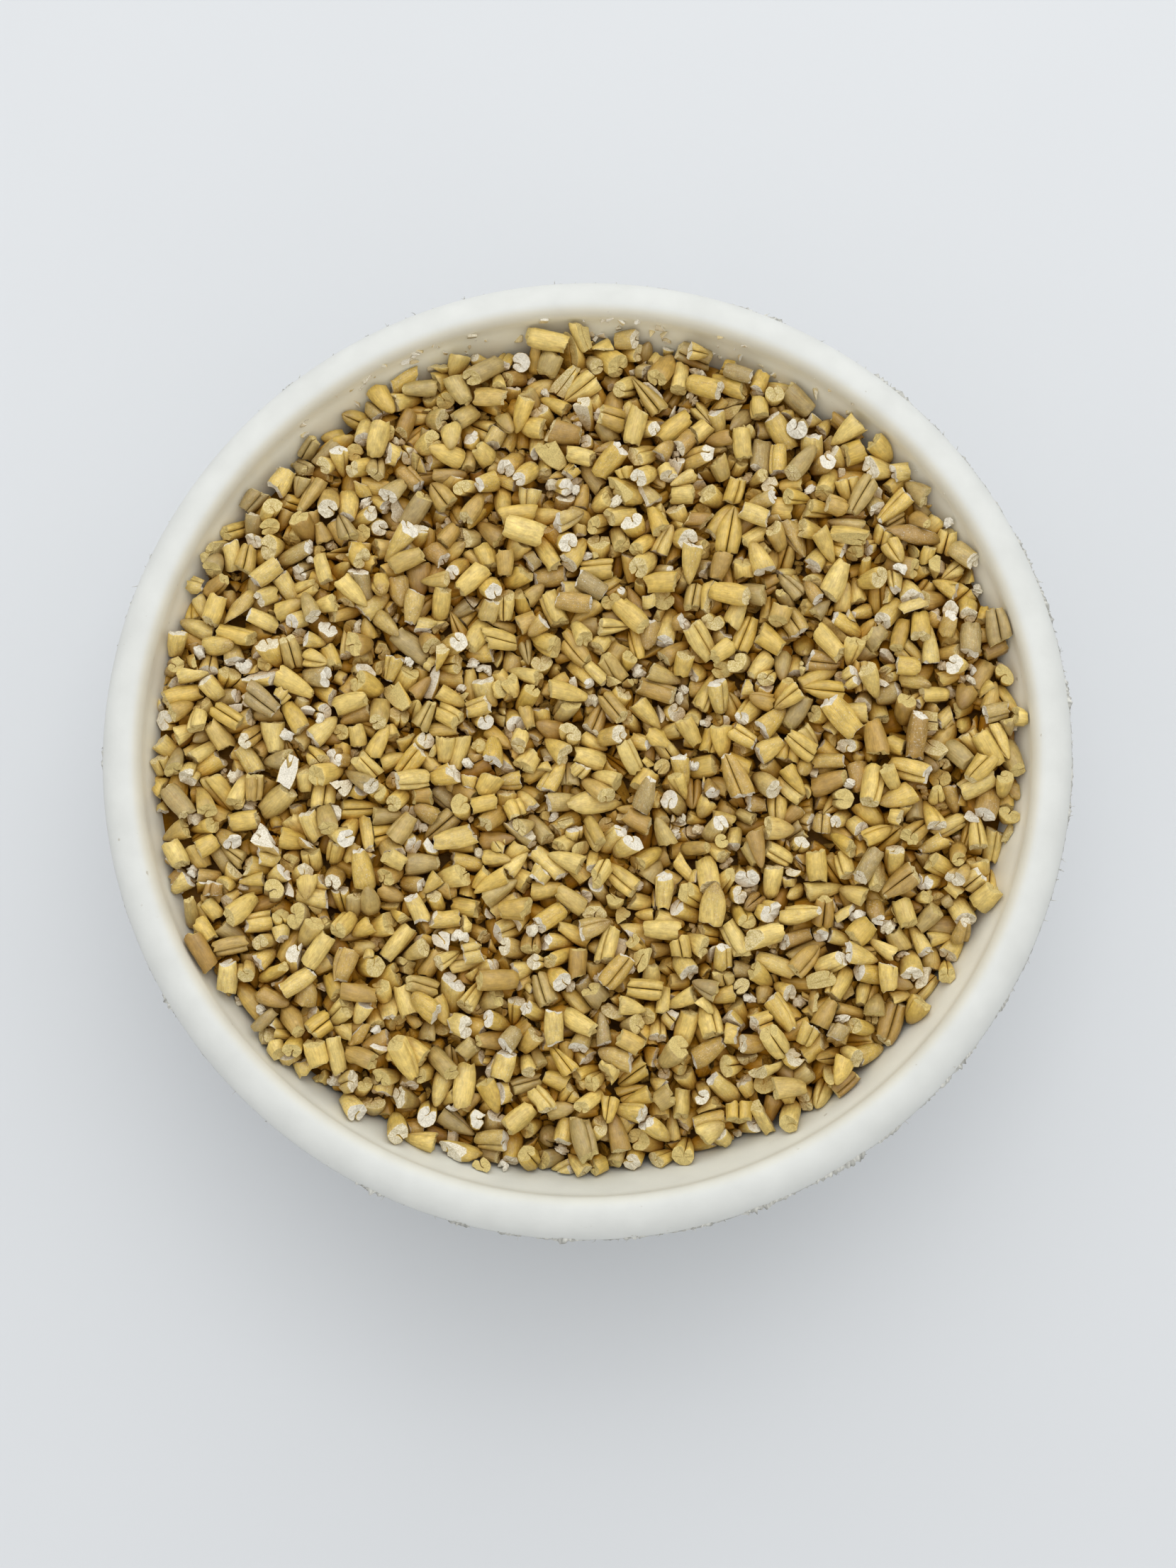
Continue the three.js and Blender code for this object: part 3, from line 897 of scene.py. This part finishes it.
def sturdy_shape(make, oats, rng):
    """A shape of one kind that isn't a sliver."""
    while True:
        shape = Shape(make(oats, rng))
        spread = np.sqrt(np.clip(np.linalg.eigvalsh(np.cov(shape.vertices.T)), 0, None))
        if spread[0] > SLIVER * spread[2] and len(shape.hull) > 5:
            return shape


def cut_shapes(oats, rng):
    """Every shape of every kind, as {kind: [shape, ...]}."""
    return {
        kind: [sturdy_shape(make, oats, rng) for _ in range(count)]
        for kind, (make, count, *_) in KINDS.items()
    }


# ---------------------------------------------------------------- oats: how the pieces lie

SETTLE_SCALE = 100.0  # the pieces settle at a hundred times their size, to steady the solver
SETTLE_PULL = 20.0  # downward pull at that scale
DROP_PITCH = 5.2 * MM  # spacing of the pieces before they fall
DROP_START = 0.75  # height of the first layer over the bed, in pitches
DROP_SHIFT = 0.08  # how far each is shifted at random, in pitches
DROP_CLEAR = DROP_PITCH * 0.2  # how far the outermost stay from the wall
OUTWARD = 0.465  # a half would spread them evenly; less puts more of them near the wall
GOLDEN_TURN = math.pi * (3 - math.sqrt(5))  # spreads the places of a layer over the round
TRAY_GAP = 0.1 * MM
TRAY_AROUND = 72
TRAY_RINGS = 14
TRAY_WALL = (-4 * MM, -2 * MM, 60 * MM)  # heights of its wall from the rim, the last far above


def bed_level(oats, bowl, x, y):
    """Height of the bed at a place in plan, with its crown, its fall and its two higher sides."""
    share = np.hypot(x, y) / bowl.radius
    bearing = np.arctan2(y, x)
    crown = oats.crown * (1 - share**2)
    fall = oats.fall * share * np.cos(bearing - oats.fall_bearing)
    saddle = oats.saddle * share**2 * np.cos(2 * (bearing - oats.saddle_bearing))
    return bowl.height - oats.level + crown - fall + saddle


def wall_line(bowl, gap=0.0):
    """The inside of the bowl from the base up to the neck, moved in by a gap."""
    return offset_line(fibre_line(bowl)[0], bowl.fibre / 2 + gap)


def wall_radius(line, height):
    return np.interp(height, line[WALL_START:, 1], line[WALL_START:, 0])


def bed_mesh(oats, bowl, line, rings, around, sink=0.0, lumps=None):
    """The top of the bed from the middle to the wall, where it is sunk, as vertices and faces."""
    angles = round_angles(around)
    at_rim = bowl.radius * np.cos(angles), bowl.radius * np.sin(angles)
    rim = wall_radius(line, bed_level(oats, bowl, *at_rim) - sink)
    share = np.linspace(0, 1, rings + 1)[1:, None]
    x, y = share * rim * np.cos(angles), share * rim * np.sin(angles)
    z = bed_level(oats, bowl, x, y) - sink * share**8
    top = bed_level(oats, bowl, 0, 0)
    if lumps is not None:
        z += lumps(x, y) * np.where(share < 1, 1, 0)
        top += lumps(0, 0)
    vertices = np.vstack((np.stack((x, y, z), axis=-1).reshape(-1, 3), ((0, 0, top),)))
    faces = turned_faces(rings, around).tolist() + fan(len(vertices) - 1, 0, around)
    return vertices, faces


def simple_object(name, vertices, faces, collection):
    mesh = bpy.data.meshes.new(name)
    mesh.from_pydata(vertices, [], faces)
    made = bpy.data.objects.new(name, mesh)
    collection.objects.link(made)
    return made


def hull_faces(points):
    shell = bmesh.new()
    for point in points:
        shell.verts.new(point)
    bmesh.ops.convex_hull(shell, input=shell.verts)
    shell.verts.index_update()
    faces = [[vertex.index for vertex in face.verts] for face in shell.faces]
    shell.free()
    return faces


class Settling:
    """Lets convex stand-ins of the pieces fall into the bowl, and says where each comes to lie."""

    def __init__(self, context):
        self.context = context
        self.scene = context.scene
        self.collection = bpy.data.collections.new("settling")
        self.scene.collection.children.link(self.collection)

    def add_tray(self, oats, bowl):
        """The bed, the inside of the wall, and the wall carried straight up."""
        line = wall_line(bowl, TRAY_GAP)
        vertices, faces = bed_mesh(oats, bowl, line, TRAY_RINGS, TRAY_AROUND)
        ring = (TRAY_RINGS - 1) * TRAY_AROUND
        for above in TRAY_WALL:
            base = len(vertices)
            height = bowl.height + above
            wall = ring_points(wall_radius(line, height), round_angles(TRAY_AROUND), height)
            vertices = np.vstack((vertices, wall))
            faces += band(ring, base, TRAY_AROUND).tolist()
            ring = base
        self.tray = simple_object("tray", vertices * SETTLE_SCALE, faces, self.collection)

    def add_pieces(self, shapes, sizes, oats, bowl, rng):
        """The stand-ins, in loose layers over the bed."""
        meshes = {}
        self.pieces = []
        line = wall_line(bowl)
        area = math.pi * wall_radius(line, bowl.height - oats.level) ** 2
        layer_count = int(area / DROP_PITCH**2)
        spiral = np.arange(layer_count) * GOLDEN_TURN
        at_wall = bowl.radius * np.cos(spiral), bowl.radius * np.sin(spiral)
        widest = wall_radius(line, bed_level(oats, bowl, *at_wall)) - DROP_CLEAR
        reach = widest * ((np.arange(layer_count) + 0.5) / layer_count) ** OUTWARD
        spots = np.column_stack((reach * np.cos(spiral), reach * np.sin(spiral)))
        for rank, (shape, size) in enumerate(zip(shapes, sizes)):
            if shape not in meshes:
                mesh = bpy.data.meshes.new("stand_in")
                mesh.from_pydata(shape.hull * MM * SETTLE_SCALE, [], hull_faces(shape.hull))
                meshes[shape] = mesh
            piece = bpy.data.objects.new("stand_in", meshes[shape])
            layer, spot = divmod(rank, len(spots))
            shift = rng.uniform(-DROP_SHIFT, DROP_SHIFT, 3) * DROP_PITCH
            x, y = spots[spot][0] + shift[0], spots[spot][1] + shift[1]
            z = bed_level(oats, bowl, x, y) + (layer + DROP_START) * DROP_PITCH
            piece.location = Vector((x, y, z)) * SETTLE_SCALE
            piece.rotation_euler = rng.uniform(0, TURN, 3)
            piece.scale = size
            self.collection.objects.link(piece)
            self.pieces.append(piece)

    def run(self, frames):
        """Steps through the fall and returns each piece's place as a matrix, at true size."""
        bpy.ops.rigidbody.world_add()
        world = self.scene.rigidbody_world
        world.collection = self.collection
        world.substeps_per_frame = 6
        world.solver_iterations = 8
        world.point_cache.frame_end = frames + 1
        self.scene.gravity = (0, 0, -SETTLE_PULL)
        for member in self.collection.objects:
            member.select_set(True)
        self.context.view_layer.objects.active = self.tray
        bpy.ops.rigidbody.objects_add(type="ACTIVE")
        for member in self.collection.objects:
            body = member.rigid_body
            body.collision_shape = "CONVEX_HULL"
            body.friction = 0.8
            body.restitution = 0
            body.mass = 0.02
            body.linear_damping = 0.1
            body.angular_damping = 0.2
            body.use_margin = True
            body.collision_margin = 0.004
        self.tray.rigid_body.type = "PASSIVE"
        self.tray.rigid_body.collision_shape = "MESH"
        for step in range(1, frames + 1):
            self.scene.frame_set(step)
        shrink = Matrix.Scale(1 / SETTLE_SCALE, 4)
        return [np.array(shrink @ piece.matrix_world) for piece in self.pieces]

    def clear(self):
        """Takes away everything that was only there for the fall."""
        bpy.ops.rigidbody.world_remove()
        meshes = {member.data for member in self.collection.objects}
        for member in list(self.collection.objects):
            bpy.data.objects.remove(member)
        for mesh in meshes:
            bpy.data.meshes.remove(mesh)
        bpy.data.collections.remove(self.collection)
        self.scene.frame_set(1)


EIGHTHS = [k * TURN / 8 for k in range(8)]
LOOKS = [(0, 0, 1)] + [(math.cos(turn), math.sin(turn), 1.0) for turn in EIGHTHS]
LEAST_SEEN = 5  # free lines of sight, from the corners of a piece, that count it as seen


def seen_pieces(shapes, places):
    """Which pieces can be seen from above or aslant, as a list of true and false."""
    vertices, faces, points = [], [], []
    count = 0
    for shape, place in zip(shapes, places):
        hull = shape.hull * MM * SETTLE_SCALE
        world = hull @ place[:3, :3].T + place[:3, 3]
        vertices.append(world)
        points.append(world.mean(axis=0) + (world - world.mean(axis=0)) * 1.03)
        faces += [[corner + count for corner in face] for face in hull_faces(shape.hull)]
        count += len(hull)
    tree = BVHTree.FromPolygons(np.vstack(vertices).tolist(), faces)
    looks = [Vector(look).normalized() for look in LOOKS]
    seen = []
    for own in points:
        starts = [Vector(point) for point in own]
        free = [tree.ray_cast(start, look)[0] is None for start in starts for look in looks]
        seen.append(sum(free) >= LEAST_SEEN)
    return seen


# ---------------------------------------------------------------- oats: the pieces as meshes


def skin_tone(oats, rng):
    """One groat's own colour: golden for most, and paler, browner or duller for some."""
    golden, pale = np.array(oats.golden_skin), np.array(oats.pale_skin)
    tone = golden + (pale - golden) * rng.random()
    kind = rng.random()
    if kind < 0.16:
        tone += (np.array(oats.brown_skin) - tone) * rng.uniform(0.3, 0.9)
    elif kind < 0.34:
        tone += (np.array(oats.grey_skin) - tone) * rng.uniform(0.4, 1)
    return np.clip(tone * rng.uniform(0.92, 1.08), 0, 1)


class Canopy:
    """The mean height of the tops of the pieces round about each place in plan, from which the
    painted shade in the gaps is measured.
    """

    CELL = 0.6 * MM
    SMOOTHING = 5  # rounds of averaging with the cells beside
    CLEAR = 0.1 * MM  # down to here a surface counts as open
    DEEP = 1.7 * MM  # and from here down as deep in a gap

    def __init__(self, oats, bowl, points):
        self.half = bowl.radius
        self.cells = int(2 * self.half / self.CELL) + 1
        middles = np.arange(self.cells) * self.CELL - self.half
        x, y = np.meshgrid(middles, middles, indexing="ij")
        self.height = bed_level(oats, bowl, x, y)
        column, row = self.cell_of(points)
        np.maximum.at(self.height, (column, row), points[:, 2])
        for _ in range(self.SMOOTHING):
            for axis in (0, 1):
                beside = np.roll(self.height, 1, axis) + np.roll(self.height, -1, axis)
                self.height = 0.5 * self.height + 0.25 * beside

    def cell_of(self, points):
        cells = np.rint((points[:, :2] + self.half) / self.CELL).astype(int)
        return cells.clip(0, self.cells - 1).T

    def gap(self, points):
        """How deep in a gap each point lies, from nought in the open to one, which is how much
        painted shade it gets.
        """
        column, row = self.cell_of(points)
        below = self.height[column, row] - points[:, 2]
        return np.clip((below - self.CLEAR) / (self.DEEP - self.CLEAR), 0, 1)


def settled_vertices(shape, place):
    return (shape.vertices * MM * SETTLE_SCALE) @ place[:3, :3].T + place[:3, 3]


WALL_FLOUR = 0.4  # how floury the skin of the crumbs on the wall is


def join_kind(kind, shapes, places, canopy, oats, material, rng):
    """One mesh of every piece of a kind that can be seen."""
    chalk_share = KINDS[kind][3]
    floury = WALL_FLOUR if kind == "wall_crumbs" else 0
    vertices, faces, flat = [], [], []
    values = {"place": [], "tone": [], "cut": [], "chalk": [], "tip": []}
    count = 0
    for shape, place in zip(shapes, places):
        size = len(shape.vertices)
        chalk = rng.uniform(0.6, 1) if rng.random() < chalk_share else rng.uniform(0, 0.4)
        vertices.append(settled_vertices(shape, place))
        faces.append(shape.faces + count)
        flat.append(shape.flat)
        values["place"].append(shape.place + rng.uniform(-50, 50, 3))
        values["tone"].append(np.tile(np.append(skin_tone(oats, rng), 1), (size, 1)))
        values["cut"].append(np.maximum(shape.cut, floury))
        values["chalk"].append(np.full(size, chalk))
        values["tip"].append(shape.tip * rng.uniform(0.2, 1))
        count += size
    vertices = np.vstack(vertices)
    values = {label: np.concatenate(parts) for label, parts in values.items()}
    # painted shade: how deep each vertex lies in a gap darkens its colour
    values["gap"] = canopy.gap(vertices)
    faces = np.vstack(faces).tolist()
    add_piece(kind, vertices, faces, material, "oats", values, np.concatenate(flat))


class OATBOWL_OT_oats(Operator):
    """Cut the groats, let the pieces settle in the bowl and join those that show, kind by kind"""

    bl_idname = "oatbowl.oats"
    bl_label = "Cut Oats"

    STUCK_SPREAD = math.radians(24)
    STUCK_DEPTH = (1.3 * MM, 5.5 * MM)  # under the top of the rim
    STUCK_SIZE = (0.25, 0.85)
    BELOW_RIM = 0.3 * MM  # a piece that stands higher than this under the rim is left out
    UNDER_BED = 3 * MM  # one whose middle lies deeper than this fell through, and is too

    def execute(self, context):
        oats, bowl = context.scene.cut_oats, context.scene.fibre_bowl
        rng = np.random.default_rng(oats.seed)
        library = cut_shapes(oats, rng)
        kinds = list(KINDS)
        shares = np.array([KINDS[kind][2] for kind in kinds])
        drawn = rng.choice(len(kinds), oats.count, p=shares / shares.sum())
        choices = [library[kinds[number]] for number in drawn]
        shapes = [choice[rng.integers(len(choice))] for choice in choices]
        sizes = rng.uniform(0.9, 1.1, (oats.count, 3)) * rng.uniform(0.88, 1.06, (oats.count, 1))
        settling = Settling(context)
        settling.add_tray(oats, bowl)
        settling.add_pieces(shapes, sizes, oats, bowl, rng)
        places = settling.run(oats.frames)
        settling.clear()
        kept = [i for i in range(oats.count) if self.lies_well(shapes[i], places[i], oats, bowl)]
        seen = seen_pieces([shapes[i] for i in kept], [places[i] for i in kept])
        kept = [i for i, shows in zip(kept, seen) if shows]
        tops = np.vstack([settled_vertices(shapes[i], places[i]) for i in kept])
        canopy = Canopy(oats, bowl, tops)
        material = groat_material(oats)
        for number, kind in enumerate(kinds):
            own = [i for i in kept if drawn[i] == number]
            own_shapes, own_places = [shapes[i] for i in own], [places[i] for i in own]
            if kind == "wall_crumbs":
                stuck = self.stuck_places(oats, bowl, rng)
                own_places += stuck
                own_shapes += [library[kind][rng.integers(len(library[kind]))] for _ in stuck]
            join_kind(kind, own_shapes, own_places, canopy, oats, material, rng)
        return {"FINISHED"}

    def stuck_places(self, oats, bowl, rng):
        """Where fine crumbs cling to the upper wall, most of them on the far side."""
        line = wall_line(bowl)
        places = []
        for _ in range(oats.stuck_crumbs):
            bearing = rng.normal(oats.stuck_bearing, self.STUCK_SPREAD)
            height = bowl.height - rng.uniform(*self.STUCK_DEPTH)
            radius = wall_radius(line, height)
            spot = (radius * math.cos(bearing), radius * math.sin(bearing), height)
            spin = rng.uniform(0, TURN)
            turn = Matrix.Rotation(spin, 4, Vector(rng.normal(size=3)).normalized())
            size = Matrix.Scale(rng.uniform(*self.STUCK_SIZE) / SETTLE_SCALE, 4)
            places.append(np.array(Matrix.Translation(spot) @ turn @ size))
        return places

    def lies_well(self, shape, place, oats, bowl):
        """Whether a piece came to rest in the bowl, under the rim and not through the wall."""
        x, y, z = place[:3, 3]
        lowest = bed_level(oats, bowl, x, y) - self.UNDER_BED
        highest = settled_vertices(shape, place)[:, 2].max()
        held = math.hypot(x, y) < bowl.radius and z > lowest
        return held and highest < bowl.height - self.BELOW_RIM


class OATBOWL_OT_bed(Operator):
    """Fill the bowl under the loose pieces with one solid bed"""

    bl_idname = "oatbowl.bed"
    bl_label = "Bed of Oats"

    RINGS = 40
    AROUND = 120
    UNDER = 0.5 * MM  # how far it lies under the surface that the pieces came to rest on
    SINK = 0.4 * MM  # and how much further down it lies at the wall
    LUMP = 0.35 * MM
    SIDE_START = 1 * MM  # the side begins this far under the lowest edge of the top
    SHADE = 0.55  # painted shade of the bed deep under the pieces: what the golden skin is multiplied by

    def execute(self, context):
        oats, bowl = context.scene.cut_oats, context.scene.fibre_bowl
        rng = np.random.default_rng(oats.seed + 1)
        line = wall_line(bowl, oats.wall_gap)

        def lumps(x, y):
            across = np.sin(x / (0.42 * MM) + 2 * np.sin(y / MM))
            along = np.sin(y / (0.5 * MM) + np.sin(x / MM))
            return -self.UNDER + self.LUMP * across * along

        vertices, faces = bed_mesh(oats, bowl, line, self.RINGS, self.AROUND, self.SINK, lumps)
        ring = (self.RINGS - 1) * self.AROUND
        lowest = vertices[ring:-1, 2].min()
        for radius, height in line[::-1]:
            if height > lowest - self.SIDE_START or radius == 0:
                continue
            base = len(vertices)
            side = ring_points(radius, round_angles(self.AROUND), height)
            vertices = np.vstack((vertices, side))
            faces += band(base, ring, self.AROUND).tolist()
            ring = base
        vertices = np.vstack((vertices, ((0, 0, line[0, 1]),)))
        faces += fan(len(vertices) - 1, ring, self.AROUND, turned=True)
        count = len(vertices)
        tone = np.array(oats.golden_skin) * self.SHADE
        values = {
            "place": vertices / MM + rng.uniform(-9, 9, 3),
            "tone": np.tile(np.append(tone, 1), (count, 1)),
            "cut": np.zeros(count),
            "chalk": np.zeros(count),
            "tip": np.zeros(count),
            # painted shade: the whole bed counts as deep in a gap
            "gap": np.ones(count),
        }
        add_piece("bed", vertices, faces, groat_material(oats), "oats", values)
        return {"FINISHED"}


# ---------------------------------------------------------------- stage


class OATBOWL_OT_stage(Operator):
    """Lay the pale surface, hang the soft lights and set the camera"""

    bl_idname = "oatbowl.stage"
    bl_label = "Surface, Light and Camera"

    SENSOR = 36.0  # height of the picture on the sensor, in millimetres
    WINDOW_PLACE = (0.02, 0.90, 0.70)
    LAMP_PLACE = (0.06, 0.16, 0.60)
    TARGET = (0.3 * MM, -4.35 * MM, 38 * MM)  # what the camera looks at

    def execute(self, context):
        stage = context.scene.oat_stage
        self.lay_floor(stage)
        self.hang_lights(context.scene, stage)
        self.set_camera(context.scene, stage)
        context.scene.view_settings.view_transform = "Standard"
        return {"FINISHED"}

    def lay_floor(self, stage):
        half = stage.floor_size / 2
        mesh = bpy.data.meshes.new("surface")
        corners = ((-half, -half, 0), (half, -half, 0), (half, half, 0), (-half, half, 0))
        mesh.from_pydata(corners, [], [(0, 1, 2, 3)])
        mesh.materials.append(floor_material(stage))
        floor = bpy.data.objects.new("surface", mesh)
        bpy.context.scene.collection.objects.link(floor)

    def hang_lights(self, scene, stage):
        world = bpy.data.worlds.new("room")
        world.use_nodes = True
        background = world.node_tree.nodes["Background"]
        background.inputs["Color"].default_value = (1.0, 1.0, 1.0, 1.0)
        background.inputs["Strength"].default_value = stage.sky
        scene.world = world
        self.hang(scene, "window", self.WINDOW_PLACE, stage.window_width, stage.window_power)
        self.hang(scene, "lamp", self.LAMP_PLACE, stage.lamp_width, stage.lamp_power)

    def hang(self, scene, name, place, width, power):
        """A square light that faces the bowl."""
        light = bpy.data.lights.new(name, "AREA")
        light.shape = "SQUARE"
        light.size = width
        light.energy = power
        lamp = bpy.data.objects.new(name, light)
        lamp.location = place
        lamp.rotation_euler = (-lamp.location).to_track_quat("-Z", "Y").to_euler()
        scene.collection.objects.link(lamp)

    def set_camera(self, scene, stage):
        lens = bpy.data.cameras.new("camera")
        lens.sensor_fit = "VERTICAL"
        lens.sensor_height = self.SENSOR
        lens.lens = stage.focal_length
        lens.clip_start = 0.01
        camera = bpy.data.objects.new("camera", lens)
        scene.collection.objects.link(camera)
        out = Vector((math.cos(stage.camera_bearing), math.sin(stage.camera_bearing), 0))
        back = out * math.sin(stage.camera_tilt) + Vector((0, 0, math.cos(stage.camera_tilt)))
        right = Vector((0, 1, 0)).cross(back).normalized()
        up = back.cross(right)
        target = Vector(self.TARGET)
        turn = Matrix((right, up, back)).transposed().to_4x4()
        camera.matrix_world = Matrix.Translation(target + back * stage.camera_distance) @ turn
        scene.camera = camera


# ---------------------------------------------------------------- panel and running


class OATBOWL_PT_panel(Panel):
    """The steps, in the order in which they are made"""

    bl_label = "Bowl of Oats"
    bl_idname = "OATBOWL_PT_panel"
    bl_space_type = "VIEW_3D"
    bl_region_type = "UI"
    bl_category = "Oats"

    def draw(self, context):
        for operator in OPERATORS:
            self.layout.operator(operator.bl_idname)


OPERATORS = (OATBOWL_OT_stage, OATBOWL_OT_bowl, OATBOWL_OT_bed, OATBOWL_OT_oats)
SETTINGS = {
    "fibre_bowl": FibreBowlSettings,
    "cut_oats": CutOatSettings,
    "oat_stage": StageSettings,
}


def register():
    for made in (*SETTINGS.values(), *OPERATORS, OATBOWL_PT_panel):
        bpy.utils.register_class(made)
    for name, group in SETTINGS.items():
        setattr(bpy.types.Scene, name, PointerProperty(type=group))


def unregister():
    for name in SETTINGS:
        delattr(bpy.types.Scene, name)
    for made in reversed((*SETTINGS.values(), *OPERATORS, OATBOWL_PT_panel)):
        bpy.utils.unregister_class(made)


def main():
    register()
    bpy.ops.oatbowl.stage()
    bpy.ops.oatbowl.bowl()
    bpy.ops.oatbowl.bed()
    bpy.ops.oatbowl.oats()


if __name__ == "__main__":
    main()
